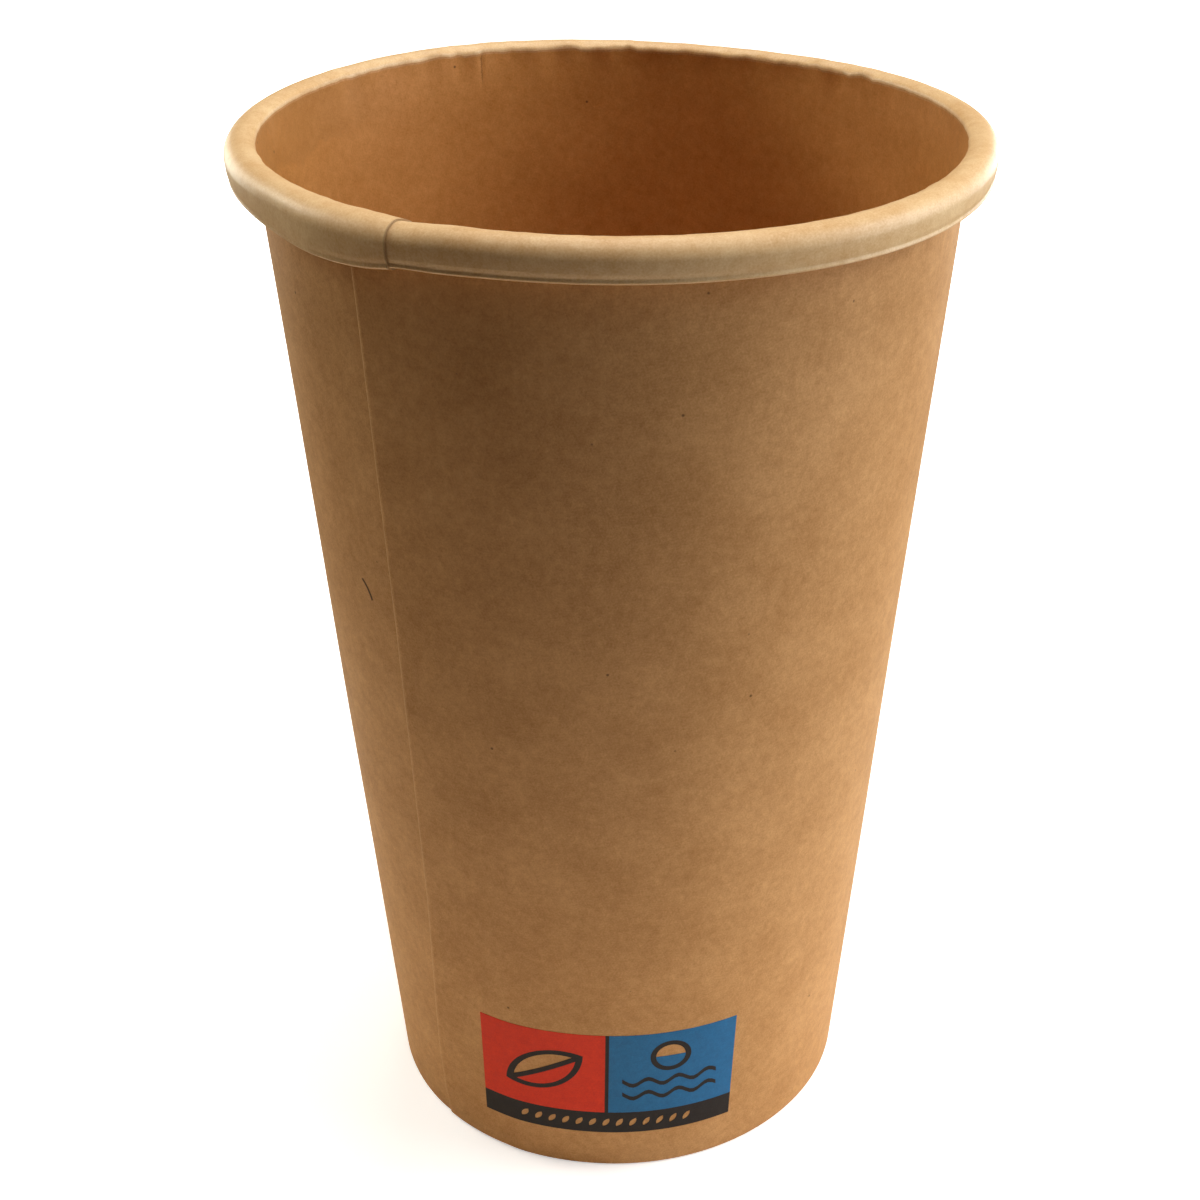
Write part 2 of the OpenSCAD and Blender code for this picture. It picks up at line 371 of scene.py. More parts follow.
inner_face, outer_face, placed = board_faces(turns)
print("top at", round(inner_face[..., 2].max(), 2), "mm, widest at", round(abs(inner_face[..., 0]).max(), 2))

# %% [markdown]
# ## The blank's own map
# Paper has a grain that runs one way over the whole sheet. To let the fibres lie as they do in the
# real blank, each vertex keeps its place on the flat fan that the cone was cut from. It is stored as
# an attribute of the mesh, which a material reads as a vector.


# %% Flat place of a point of the board
BLANK_MIDDLE, SIDES_APART = 142.8, 60.0


def flat_place(turn, s, side):
    """Place on the flat blank in mm; the outer side reads its pattern SIDES_APART further on."""
    fan_r = FOOT_R / math.sin(SLOPE) + s
    fan_a = np.radians(np.asarray(turn) - BLANK_MIDDLE) * math.sin(SLOPE)
    depth = np.full(np.shape(fan_a), SIDES_APART * side)
    return np.stack([fan_r * np.sin(fan_a), fan_r * np.cos(fan_a), depth], axis=-1)


def vector_attribute(mesh, name, values):
    layer = mesh.attributes.new(name, "FLOAT_VECTOR", "POINT")
    layer.data.foreach_set("vector", np.asarray(values, np.float32).ravel())


def new_piece(name, mesh, slot, *nodes):
    piece = bpy.data.objects.new(name, mesh)
    bpy.context.scene.collection.objects.link(piece)
    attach(piece, "root")
    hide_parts(*nodes)
    return piece


print("the flat blank spans", round((turns[-1] - turns[0]) * math.sin(SLOPE), 1), "degrees of its own arc")

# %% [markdown]
# ## The sheet as one closed mesh
# Each column is a closed loop: along the inner face, back along the outer face. Loops joined side by
# side make the board, and two strips of faces close it at the blank's ends. Faces that a knife made
# get the second material, since cut board shows pale fibre ends. Only the end of the roll keeps the
# first one, so that painted shade can darken it for the corner below it.


# %% Faces of the rolled sheet
cols, rows = len(turns), len(path)
loop = 2 * rows


def sheet_faces():
    """Corner numbers of every face, and 1 for each face that a knife made."""
    i, k = np.meshgrid(np.arange(cols - 1), np.arange(loop), indexing="ij")
    a, b = i * loop + k, i * loop + (k + 1) % loop
    skin = np.stack([a, b, b + loop, a + loop], axis=-1).reshape(-1, 4)
    cut = np.isin(k.ravel(), (rows - 1, loop - 1)).astype(np.int32)
    k = np.arange(rows - 1)
    caps = []
    for column, flip in ((0, False), (cols - 1, True)):
        base = column * loop
        cap = np.stack([base + k, base + k + 1, base + loop - 2 - k, base + loop - 1 - k], axis=1)
        caps.append(cap if flip else cap[:, ::-1])
    end_cap = (np.arange(rows - 1) < N_WALL).astype(np.int32)
    return np.concatenate([skin] + caps), np.concatenate([cut, np.ones(rows - 1, np.int32), end_cap])


faces, cut = sheet_faces()
print(len(faces), "faces,", cut.sum(), "of them cut")

# %% [markdown]
# ## What each point of the board knows
# A material has to know where on the cup a point is: its turn and height, whether it is inside,
# outside, in the roll or in the hem, and whether it is a worn edge or a crevice of painted shade.
# Vertex groups or colour layers could carry that too. Plain attributes take the numbers as they are.


# %% Attributes of the sheet
WALL_INSIDE, WALL_OUTSIDE, IN_ROLL, IN_HEM = 0.0, 1.0, 2.0, 3.0


def both_sides(inside, outside):
    return np.concatenate([inside, outside[:, ::-1]], axis=1)


def places():
    """x: turn in degrees, y: height in mm, z: the zone of the board."""
    row = np.arange(rows)
    zone = np.where(row >= N_WALL, IN_ROLL, np.where(row < N_FOOT - 3, IN_HEM, WALL_INSIDE))
    zone_out = np.where(zone == WALL_INSIDE, WALL_OUTSIDE, zone)
    return both_sides(*(np.dstack([placed, np.tile(z, (cols, 1))]) for z in (zone, zone_out)))


def edge_wear_and_shade():
    """1 on edges where pale fibres stand up, -1 for painted shade in the corner at the end of the roll and
    in the crevice at the roll's step.
    """
    worn = np.zeros((cols, loop), np.float32)
    worn[0] = 1
    worn[:, [0, rows - 1, rows, loop - 1]] = 1
    roll_rows = slice(N_WALL - 2, loop - N_WALL + 2)
    # Painted shade: the end of the roll is drawn dark for the corner below it, and so is the crevice at the
    # roll's step.
    worn[-1, roll_rows] = -1
    crevice_shade = (turns > INNER_EDGE - 0.1) & (turns < INNER_EDGE)
    worn[np.ix_(np.flatnonzero(crevice_shade), np.arange(loop)[roll_rows])] = -1
    return worn


def rolled_sheet():
    mesh = bpy.data.meshes.new("rolled_board")
    mesh.from_pydata((both_sides(inner_face, outer_face).reshape(-1, 3) * MM).tolist(), [], faces.tolist())
    s, turn = np.tile(path, (cols, 1)), placed[..., 0]
    vector_attribute(mesh, "blank", both_sides(flat_place(turn, s, 0), flat_place(turn, s, 1)))
    vector_attribute(mesh, "place", places())
    mesh.attributes.new("worn", "FLOAT", "POINT").data.foreach_set("value", edge_wear_and_shade().ravel())
    mesh.polygons.foreach_set("material_index", cut)
    mesh.shade_smooth()
    mesh.set_sharp_from_angle(angle=math.radians(42))
    mesh.update()
    return mesh


sheet = new_piece("rolled_wall", rolled_sheet(), "kraft_board", "sidewall")
print("sheet has", len(sheet.data.polygons), "faces")

# %% [markdown]
# ## Print as thin films
# The panel at the foot is ink: two colour fields, a dark band and simple motifs. Each colour is a set
# of flat outlines with holes, drawn in millimetres as seen from the front. An image would be quicker,
# but outlines stay sharp at any size and are real geometry. First come the panel's sizes and its
# colour fields, whose sides follow the wall.

# %% Sizes and fields of the panel
PANEL_LOW, BAND_H, FIELD_H = 6.5, 3.85, 14.2
PANEL_W, PANEL_W_LOW, PANEL_MID, PANEL_MID_LOW = 35.2, 34.4, -1.5, -1.8
SPLIT_W, LINE_W, INK = 0.5, 0.75, 0.05
LEAF_W, LEAF_LEAN, LEAF_GAP = 6.4, math.radians(32), 3.1
RING_R, WAVE_GAP, WAVE_AMP, WAVE_PITCH = 2.7, 2.0, 0.55, 4
MARKS, MARK_PITCH, MARK_L, MARK_W = 13, 1.8, 1.7, 0.75
BAND_TOP = PANEL_LOW + BAND_H
PANEL_TOP = BAND_TOP + FIELD_H


def front_x(around, z):
    """How far to the right a point appears from the front, for its distance round the wall."""
    return wall_r(z) * math.sin(around / wall_r(z))


def panel_x(side, z):
    """The panel's left edge (-1), middle (0) or right edge (1) at height z."""
    share = (z - PANEL_LOW) / (PANEL_TOP - PANEL_LOW)
    middle = PANEL_MID_LOW + (PANEL_MID - PANEL_MID_LOW) * share
    half = (PANEL_W_LOW + (PANEL_W - PANEL_W_LOW) * share) / 2
    return front_x(middle + side * half, z)


def field(low, high, left, right, trim_left=0.0, trim_right=0.0):
    """A colour field between two heights and two sides of the panel."""
    rise = np.linspace(low, high, 2)
    return ([(panel_x(left, z) + trim_left, z) for z in rise]
            + [(panel_x(right, z) - trim_right, z) for z in rise[::-1]])


print("panel from", PANEL_LOW, "to", round(PANEL_TOP, 2), "mm above the table")

# %% [markdown]
# ## Leaf, ring and wave
# Three plain outlines are all that the motifs need. A leaf is two arcs that meet in two tips, and a
# line through it parts a full half from a bare one. Each is drawn round its own middle, then moved.


# %% Outlines of the motifs
def moved(outline, at, lean=0.0):
    """The outline, turned by lean and set down at its place."""
    c, s = math.cos(lean), math.sin(lean)
    return [(at[0] + c * x - s * y, at[1] + s * x + c * y) for x, y in outline]


def round_part(r, start=0, end=360, steps=48):
    """A circle, or a part of one that is closed by a straight line."""
    a = np.radians(np.linspace(start, end, steps + 1)[: steps if end - start == 360 else steps + 1])
    return [(r * math.cos(t), r * math.sin(t)) for t in a]


def leaf(length, width, cut=None):
    """Outline of a leaf; with cut, only the half above (+) or below (-) a line at that height."""
    r = (length ** 2 + width ** 2) / (4 * width)
    x = np.linspace(-1, 1, 25)
    if cut is None:
        rim = [(t * length / 2, math.sqrt(r * r - (t * length / 2) ** 2) - (r - width / 2)) for t in x]
        return rim + [(a, -b) for a, b in rim[-2:0:-1]]
    side = math.copysign(1, cut)
    reach = math.sqrt(r * r - (abs(cut) + r - width / 2) ** 2)
    rim = [(t * reach, side * (math.sqrt(r * r - (t * reach) ** 2) - (r - width / 2))) for t in x]
    return rim


def wave():
    """A wavy line of even width."""
    x = np.arange(-WAVE_L / 2, WAVE_L / 2 + WAVE_PITCH / 32, WAVE_PITCH / 8)
    y = WAVE_AMP * np.sin(2 * math.pi * x / WAVE_PITCH)
    return list(zip(x, y + LINE_W / 2)) + list(zip(x[::-1], y[::-1] - LINE_W / 2))


print("a ring has", len(round_part(RING_R)), "points, a leaf", len(leaf(MARK_L, MARK_W)))

# %% [markdown]
# ## Which shape is which ink
# The leaf and the waves take their lengths from the fields that they stand in, so a wider panel keeps
# its margins. Where one ink lies on another there would be two films in one place, so each outline
# is a hole in the ink below it.

# %% Outlines of the three inks
FIELD_Z = (BAND_TOP + PANEL_TOP) / 2
field_x = [panel_x(side, FIELD_Z) for side in (-1, 0, 1)]
LEAF_L = (field_x[1] - field_x[0] - 2 * LEAF_GAP) / math.cos(LEAF_LEAN)
WAVE_L = field_x[2] - field_x[1] - 2 * WAVE_GAP
left_at = ((field_x[0] + field_x[1]) / 2, FIELD_Z)
right_x = (field_x[1] + field_x[2]) / 2
ring_at = (right_x, FIELD_Z + 0.2 * FIELD_H)

leaf_rim = moved(leaf(LEAF_L, LEAF_W), left_at, LEAF_LEAN)
leaf_bare = moved(leaf(LEAF_L - 3 * LINE_W, LEAF_W - 2 * LINE_W, LINE_W / 2), left_at, LEAF_LEAN)
leaf_full = moved(leaf(LEAF_L - 3 * LINE_W, LEAF_W - 2 * LINE_W, -LINE_W / 2), left_at, LEAF_LEAN)
ring_rim = moved(round_part(RING_R), ring_at)
ring_hole = moved(round_part(RING_R - LINE_W), ring_at)
ring_full = moved(round_part(RING_R - LINE_W, 180, 360, 24), ring_at)
ripples = [moved(wave(), (right_x, FIELD_Z + (0.06 - 0.17 * n) * FIELD_H)) for n in (1, 2)]
marks = [moved(leaf(MARK_L, MARK_W), (panel_x(0, PANEL_LOW) + (n - (MARKS - 1) / 2) * MARK_PITCH,
                                      PANEL_LOW + BAND_H / 2), math.radians(60)) for n in range(MARKS)]
inks = {
    "print_red": [[field(BAND_TOP, PANEL_TOP, -1, 0, 0, SPLIT_W / 2), leaf_rim], [leaf_full]],
    "print_blue": [[field(BAND_TOP, PANEL_TOP, 0, 1, SPLIT_W / 2, 0), ring_rim] + ripples, [ring_full]],
    "print_dark": [[field(PANEL_LOW, BAND_TOP, -1, 1)] + marks,
                   [field(BAND_TOP, PANEL_TOP, 0, 0, -SPLIT_W / 2, -SPLIT_W / 2)],
                   [leaf_rim, leaf_bare, leaf_full], [ring_rim, ring_hole]] + [[r] for r in ripples],
}
print({name: len(shapes) for name, shapes in inks.items()}, "shapes of ink")

# %% [markdown]
# ## Ink on the curved board
# The film stands the thickness of ink on the face of whichever ply is on top, and reaches a hair
# into it, so that no light gets under it. So every point of the front view needs its place on the
# board's outer face, seam and small waves included.


# %% From the front view to the board
def outer_place(x, z, h):
    """A point of the front view, carried back onto the board's outer face and out by h."""
    angle = np.arcsin(np.clip(x / wall_r(z), -1, 1))
    turn = np.degrees(angle)
    proud = PLY * rides(turn, WALL_SETTLE) + ply_thickness(turn) - BOARD + h
    r = wall_r(z) + wall_wave(turn, z) + proud * math.cos(SLOPE)
    return np.stack([r * np.sin(angle), -r * np.cos(angle), z - proud * math.sin(SLOPE)], axis=1), turn


print("in front the ink lies at", outer_place(np.array([0.0]), np.array([FIELD_Z]), INK)[0][0].round(2))

# %% [markdown]
# ## Films of ink
# The outlines are filled with triangles, sliced into narrow strips so that they can bend, given a
# thickness, and then carried onto the board. Slicing first and bending afterwards keeps each outline
# sharp with few faces. Pressing a picture onto the wall would be the other way, but it has no edge.


# %% Slice the films and bend them onto the wall
INTO_BOARD = 0.02
CUTS = np.arange(-18.5, 16.5, 1.0)


def face_order(face):
    """A number of its own for each face, so that the faces are listed alike in every run."""
    a, b, c = sorted(v.index for v in face.verts)[:3]
    return (a * 1e5 + b) * 1e5 + c


def cut_slab(shapes):
    """Flat slabs with the given outlines, sliced upright into strips."""
    bm = bmesh.new()
    for loops in shapes:
        flat = [[Vector((x, z, 0)) for x, z in loop] for loop in loops]
        made = [bm.verts.new(p) for loop in flat for p in loop]
        for tri in tessellate_polygon(flat):
            bm.faces.new([made[n] for n in tri])
    bmesh.ops.recalc_face_normals(bm, faces=bm.faces)
    for x in CUTS:
        every = bm.verts[:] + bm.edges[:] + bm.faces[:]
        bmesh.ops.bisect_plane(bm, geom=every, plane_co=(x, 0, 0), plane_no=(1, 0, 0), dist=1e-6)
    grown = bmesh.ops.extrude_face_region(bm, geom=bm.faces[:])
    low = [v for v in grown["geom"] if isinstance(v, bmesh.types.BMVert)]
    bmesh.ops.translate(bm, vec=(0, 0, 1), verts=low)
    bm.verts.index_update()
    bm.faces.sort(key=face_order)
    return bm


def ink_film(name, shapes):
    bm = cut_slab(shapes)
    mesh = bpy.data.meshes.new(name)
    bm.to_mesh(mesh)
    bm.free()
    co = np.empty(3 * len(mesh.vertices), np.float32)
    mesh.vertices.foreach_get("co", co)
    co = co.reshape(-1, 3).astype(float)
    bent, turn = outer_place(co[:, 0], co[:, 1], np.where(co[:, 2] > 0.5, -INTO_BOARD, INK))
    mesh.vertices.foreach_set("co", (bent * MM).astype(np.float32).ravel())
    vector_attribute(mesh, "blank", flat_place(turn, path[N_FOOT - 3] + co[:, 1], 1))
    bm = bmesh.new()
    bm.from_mesh(mesh)
    bmesh.ops.recalc_face_normals(bm, faces=bm.faces)
    bm.to_mesh(mesh)
    bm.free()
    mesh.shade_smooth()
    mesh.set_sharp_from_angle(angle=math.radians(30))
    return mesh


prints = {}
for node_name, shapes in inks.items():
    ink = node_name.removeprefix("print_")
    prints[node_name] = new_piece("ink_" + ink, ink_film("ink_" + ink, shapes), ink + "_ink", node_name)
print({o.name: len(o.data.polygons) for o in prints.values()}, "faces")

# %% [markdown]
# ## A short way to write materials
# A finish is arithmetic on patterns. Writing it node by node hides the idea, so a Wire stands for one
# output of a node and turns +, -, * and / into Math nodes. It asks its node tree for them, so that
# every node comes from one place.


# %% Wires
class Wire:
    """One output of a node. Arithmetic on it adds Math nodes."""

    def __init__(self, nodes, socket):
        self.nodes, self.socket = nodes, socket

    def math(self, operation, *terms):
        return self.nodes.node("Math", {"operation": operation}, dict(enumerate(terms)))

    def __add__(self, other): return self.math("ADD", self, other)
    def __radd__(self, other): return self.math("ADD", other, self)
    def __sub__(self, other): return self.math("SUBTRACT", self, other)
    def __rsub__(self, other): return self.math("SUBTRACT", other, self)
    def __mul__(self, other): return self.math("MULTIPLY", self, other)
    def __rmul__(self, other): return self.math("MULTIPLY", other, self)
    def __truediv__(self, other): return self.math("DIVIDE", self, other)
    def __abs__(self): return self.math("ABSOLUTE", self)
    def sine(self): return self.math("SINE", self)

    def above(self, start, end):
        """0 below start, 1 above end, with a soft passage."""
        ends = {"Value": self, "From Min": start, "From Max": end}
        return self.nodes.node("MapRange", {"interpolation_type": "SMOOTHSTEP"}, ends)


print("a wire can", [name for name in vars(Wire) if not name.startswith("_")])

# %% [markdown]
# ## Node trees and finishes
# Everything else goes through one method that makes a node of any type, with its settings first and
# then its sockets. Mixing two colours and making a noise are so common here that they have short
# names. A Finish is a material whose shader is fed at the end, once its wires are worked out.


# %% Nodes, finishes and colours
class Nodes:
    """A node tree, and the one method that adds any node to it."""

    def __init__(self, tree):
        self.tree = tree

    def link(self, wire, socket):
        self.tree.links.new(wire.socket, socket)

    def node(self, kind, settings=None, sockets=None, out=0):
        """A node of this kind: its settings, then the values or wires of its sockets."""
        node = self.tree.nodes.new("ShaderNode" + kind)
        for key, value in (settings or {}).items():
            setattr(node, key, value)
        for key, value in (sockets or {}).items():
            if isinstance(value, Wire):
                self.link(value, node.inputs[key])
            else:
                node.inputs[key].default_value = value
        if isinstance(out, tuple):
            return [Wire(self, node.outputs[n]) for n in out]
        return Wire(self, node.outputs[out])

    def mix(self, share, a, b):
        """Colour a where share is 0, colour b where it is 1."""
        keys = {"data_type": "RGBA", "clamp_factor": True}
        return self.node("Mix", keys, {0: share, 6: a, 7: b}, out=2)

    def noise(self, at, scale, detail=2.0, rough=0.55):
        looks = {"Vector": at, "Scale": scale, "Detail": detail, "Roughness": rough}
        return self.node("TexNoise", None, looks)


class Finish(Nodes):
    """A material with a Principled shader."""

    def __init__(self, name, **constants):
        self.material = bpy.data.materials.new(name)
        self.material.use_nodes = True
        super().__init__(self.material.node_tree)
        self.shader = self.tree.nodes["Principled BSDF"]
        for key, value in constants.items():
            self.shader.inputs[key.replace("_", " ")].default_value = value

    def feed(self, **wires):
        """Links wires to the shader's sockets and gives the finished material."""
        for key, wire in wires.items():
            self.link(wire, self.shader.inputs[key.replace("_", " ")])
        return self.material


def paint(hex_colour):
    """A screen colour as the linear values that sockets take."""
    parts = [int(hex_colour[i:i + 2], 16) / 255 for i in (1, 3, 5)]
    return (*[c / 12.92 if c <= 0.04045 else ((c + 0.055) / 1.055) ** 2.4 for c in parts], 1.0)


print("kraft brown in linear light:", [round(c, 3) for c in paint("#C39868")[:3]])

# %% [markdown]
# ## Kraft board
# Kraft board is unbleached pulp: cloudy where the fibres settled unevenly, finely streaked along the
# grain, with a few dark bark specks. Three patterns at three scales make that, all laid on the
# blank's flat map. The wall's inside carries a thin sealing film, so it is smoother, and its deeper
# colour is painted shade for the light bounced round inside the cup. The curled rim is burnished by
# the tool that rolls it, and its paler tone is partly burnished board and partly painted light for
# the light that the roll's top catches.


# %% Patterns that all the board shares
# How many cells of each pattern lie in a millimetre
CLOUDS, FLOCKS, GRAIN, BARK = 0.11, 0.75, 4.2, 0.3


def fibre_streaks(finish, at, lean, scale, thin):
    """Long thin streaks in one direction, from a noise that is squeezed across the grain."""
    leant = finish.node("Mapping", None, {"Vector": at, "Rotation": (0, 0, lean)})
    laid = finish.node("Mapping", None, {"Vector": leant, "Scale": (thin, 1, 1)})
    return finish.noise(laid, scale, 2.0, 0.6)


def board_patterns(finish, at):
    """Five patterns between 0 and 1, laid on the map that at gives."""
    clouds = finish.noise(at, CLOUDS, 3.0, 0.6)
    flocks = finish.noise(at, FLOCKS, 3.0, 0.65)
    streaks = (fibre_streaks(finish, at, 0.35, 0.5, 7) + fibre_streaks(finish, at, 1.2, 0.55, 6)
               + fibre_streaks(finish, at, -0.5, 0.5, 7)) / 3
    grain = finish.noise(at, GRAIN, 2.0, 0.6)
    spots = {"Vector": at, "Scale": BARK, "Randomness": 1.0}
    bark, bark_at = finish.node("TexVoronoi", None, spots, out=(0, 2))
    chosen = finish.node("TexWhiteNoise", {"noise_dimensions": "3D"}, {"Vector": bark_at})
    specks = (1 - bark.above(0.03, 0.075)) * chosen.above(0.76, 0.78)
    return clouds, flocks, streaks, grain, specks


def board_colour(finish, patterns, dark, light, speck):
    """The board's colour between a dark and a light tone, with specks."""
    clouds, flocks, streaks, grain, specks = patterns
    tone = (0.5 + (clouds - 0.5) * 1.15 + (flocks - 0.5) * 1.05
            + (streaks - 0.5) * 1.4 + (grain - 0.5) * 1.15)
    return finish.mix(specks * 0.75, finish.mix(tone, dark, light), speck)


def board_relief(finish, patterns, strength, depth):
    """A normal for fibres that stand up by depth in millimetres."""
    clouds, flocks, streaks, grain, specks = patterns
    height = grain * 0.45 + streaks * 0.8 + flocks * 0.35
    return finish.node("Bump", None, {"Strength": strength, "Distance": depth * MM, "Height": height})


print("bark cells are about", round(1 / BARK, 1), "mm wide, and a few of them hold a speck")

# %% [markdown]
# ## Finish of the rolled wall
# One material covers wall, rim, hem and inside, because it is one board. Where on the cup a point is
# comes from its stored place, so the change from outside to inside needs no second material.

# %% Board outside, inside and rim
kraft = Finish("kraft_board", Specular_IOR_Level=0.26, Coat_Roughness=0.42)
blank = kraft.node("Attribute", {"attribute_name": "blank"}, out=1)
place = kraft.node("Attribute", {"attribute_name": "place"}, out=1)
turn_deg, height_mm, zone = kraft.node("SeparateXYZ", None, {0: place}, out=(0, 1, 2))
# Each limit lies halfway between the numbers of two zones
outside, rolled, hem = zone.above(0.4, 0.6), zone.above(1.4, 1.6), zone.above(2.4, 2.6)
patterns = board_patterns(kraft, blank)
clouds, flocks, streaks, grain, specks = patterns
outer_colour = board_colour(kraft, patterns, paint("#B1804B"), paint("#D4A36D"), paint("#4A3220"))
# The inside's deeper, more orange colour is painted shade for the light bounced round inside the cup.
inner_colour_and_painted_shade = board_colour(kraft, patterns, paint("#B27839"), paint("#CF9353"), paint("#3A2616"))
calm = (clouds, flocks, 0.5 + (streaks - 0.5) * 0.25, grain, specks)
# The roll's paler tone: partly burnished board, partly painted light for the light on the roll's top.
rim_colour_and_painted_light = board_colour(kraft, calm, paint("#D1A56D"), paint("#EED0A0"), paint("#7A5A36"))
colour = kraft.mix(rolled, kraft.mix(outside, inner_colour_and_painted_shade, outer_colour), rim_colour_and_painted_light)
print("base colours of the board laid")

# %% [markdown]
# ## Marks of making and use, and painted shade
# Four marks are laid on the board: a patch of painted shade inside under the roll with a ragged
# lower border, a line of painted shade along the crease, one dark bark fibre on the front left, and
# edges that are pale where the knife left fibres and dark with painted shade in the corner at the end
# of the roll. Each is a mask made from the stored turn and height, so it stays where it is from every side.

# %% Painted shade under the roll and along the crease, bark fibre and edges
# Painted shade: a darker patch inside the back left, just under the roll, with a ragged lower border.
SHADE_LOW, SHADE_START, SHADE_END = (126.5, 127.6), (222, 245), (266, 285)
ragged = height_mm + (clouds - 0.5) * 9 + (flocks - 0.5) * 3
shade_under_roll = ragged.above(*SHADE_LOW) * turn_deg.above(*SHADE_START) * (1 - turn_deg.above(*SHADE_END))
colour = kraft.mix(shade_under_roll * (1 - outside) * 0.25, colour, paint("#8A5E2C"))
# Painted shade: a dark line inside along the crease, high on the wall under the roll.
crease_shade = 1 - abs(turn_deg - CREASE_TURN + (grain - 0.5) * 0.5).above(0.08, 0.22)
colour = kraft.mix(crease_shade * height_mm.above(128.5, 131) * (1 - outside) * 0.42, colour, paint("#5A3818"))

FLECK_TURN, FLECK_Z, FLECK_LEAN, FLECK_L, FLECK_W = 310.0, 85.7, 0.95, 1.5, 0.3
MM_PER_DEGREE = 0.665  # round the wall at the fibre's height
across_fleck = (turn_deg - FLECK_TURN) * MM_PER_DEGREE
up_fleck = height_mm - FLECK_Z
along = across_fleck * math.cos(FLECK_LEAN) - up_fleck * math.sin(FLECK_LEAN)
aside = abs(across_fleck * math.sin(FLECK_LEAN) + up_fleck * math.cos(FLECK_LEAN) + along * along * 0.12)
fleck = (1 - aside.above(0.4 * FLECK_W, FLECK_W)) * (1 - abs(along).above(0.9 * FLECK_L, FLECK_L))
fleck = fleck * outside * (1 - rolled)
colour = kraft.mix(fleck * 0.92, colour, paint("#2E1C10"))

worn = kraft.node("Attribute", {"attribute_name": "worn"}, out=2)
colour = kraft.mix(worn * (0.35 + grain * 0.6), colour, paint("#E2BE8C"))
# Painted shade: where the attribute is -1, the corner at the end of the roll and the crevice at the step are
# darkened.
colour = kraft.mix(worn * -0.5, colour, paint("#5E3A1C"))
print("bark fibre", FLECK_Z, "mm above the table")

# %% [markdown]
# ## Relief and sheen of the board
# Fibres and clouds stand up a few hundredths of a millimetre, which a Bump node shows well enough.
# The closing tool presses fine ribs into the hem. The roll is burnished by the tool that curls it,
# so it is a little smoother and has a thin soft gloss, and the inside is smoother than the outside.

# %% Relief, ribs and roughness
HEM_RIBS = 96
ribs = ((turn_deg * math.radians(HEM_RIBS)).sine() * 0.5 + 0.5) * hem
relief = board_relief(kraft, patterns, 0.55, 0.035)
hem_relief = kraft.node("Bump", None, {"Strength": 0.8, "Distance": 0.12 * MM,
                                       "Height": ribs, "Normal": relief})
roughness = 0.60 + (streaks - 0.5) * 0.3 - rolled * 0.12 - (1 - outside) * 0.1
kraft.feed(Base_Color=colour, Roughness=roughness, Coat_Weight=rolled * 0.35, Normal=hem_relief)
print(len(kraft.tree.nodes), "nodes in the board's material")

# %% [markdown]
# ## Cut edges and the floor
# A knife leaves a pale, matt, furry edge. The floor disc comes from another reel of the same board:
# a touch greyer, with its own clouds, laid on its plain place in space.

# %% Cut edge and floor finishes
cut_edge = Finish("cut_board_edge", Specular_IOR_Level=0.3, Roughness=0.8)
at = cut_edge.node("Attribute", {"attribute_name": "blank"}, out=1)
fuzz = cut_edge.noise(at, 5.0, 2.0, 0.6)
cut_edge.feed(Base_Color=cut_edge.mix(fuzz, paint("#C29B69"), paint("#DDBD8E")),
              Normal=cut_edge.node("Bump", None, {"Strength": 0.5, "Distance": 0.03 * MM, "Height": fuzz}))

floor_board = Finish("kraft_floor", Specular_IOR_Level=0.42)
spot = floor_board.node("TexCoord", out=3)
in_mm = floor_board.node("VectorMath", {"operation": "SCALE"}, {0: spot, "Scale": 1 / MM})
floor_patterns = board_patterns(floor_board, in_mm)
floor_board.feed(
    Base_Color=board_colour(floor_board, floor_patterns,
                            paint("#AE7F48"), paint("#CA9B62"), paint("#3A2616")),
    Roughness=0.52 + (floor_patterns[2] - 0.5) * 0.3,
    Normal=board_relief(floor_board, floor_patterns, 0.5, 0.035))

sheet.data.materials.append(kraft.material)
sheet.data.materials.append(cut_edge.material)
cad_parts["base_disc"].data.materials.clear()
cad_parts["base_disc"].data.materials.append(floor_board.material)
print("board finishes made")

# %% [markdown]
# ## Ink
# Water-based ink soaks in, so the board's clouds and fibres show through as a mottle, and tiny spots
# stay bare where a fibre stood up. It is barely glossier than the board.


# %% Three inks on board
INK_COLOURS = {"red": ("#CC2A18", "#EA4022", "#D98A66"),
               "blue": ("#1B6093", "#2878B2", "#6F8C98"),
               "dark": ("#181618", "#2C292B", "#6A5A4A")}


def ink_finish(name, dark, light, bare):
    """Ink between a dark and a light tone, with pinholes in a third colour."""
    ink = Finish(name, Specular_IOR_Level=0.22)
    patterns = board_patterns(ink, ink.node("Attribute", {"attribute_name": "blank"}, out=1))
    clouds, flocks, streaks, grain, specks = patterns
    tone = 0.5 + (flocks - 0.5) * 0.9 + (streaks - 0.5) * 1.3 + (grain - 0.5) * 0.8
    pinholes = (grain * 0.6 + streaks * 0.4).above(0.64, 0.72) * 0.22
    return ink.feed(Base_Color=ink.mix(pinholes, ink.mix(tone, dark, light), bare),
                    Roughness=0.55 + (streaks - 0.5) * 0.3,
                    Normal=board_relief(ink, patterns, 0.5, 0.03))


for ink, colours in INK_COLOURS.items():
    finish = ink_finish(ink + "_ink", *(paint(c) for c in colours))
    prints["print_" + ink].data.materials.append(finish)
print("inks:", list(INK_COLOURS))

# %% [markdown]
# ## White floor
# The cup stands on a white sheet. The camera sees it white because of its colour and a little glow
# for the camera's own rays, which grows with the distance from the cup, so the soft shadow at the
# foot stays. Every other ray meets a pale warm sheet near the cup and a dim one further out, as if
# a card lay on a table. So the glow puts no light on the cup.


# %% Floor
TABLE_R = 95
NEAR_GLOW, MORE_GLOW, GLOW_GROWS = 0.5, 0.5, (0.1, 0.45)


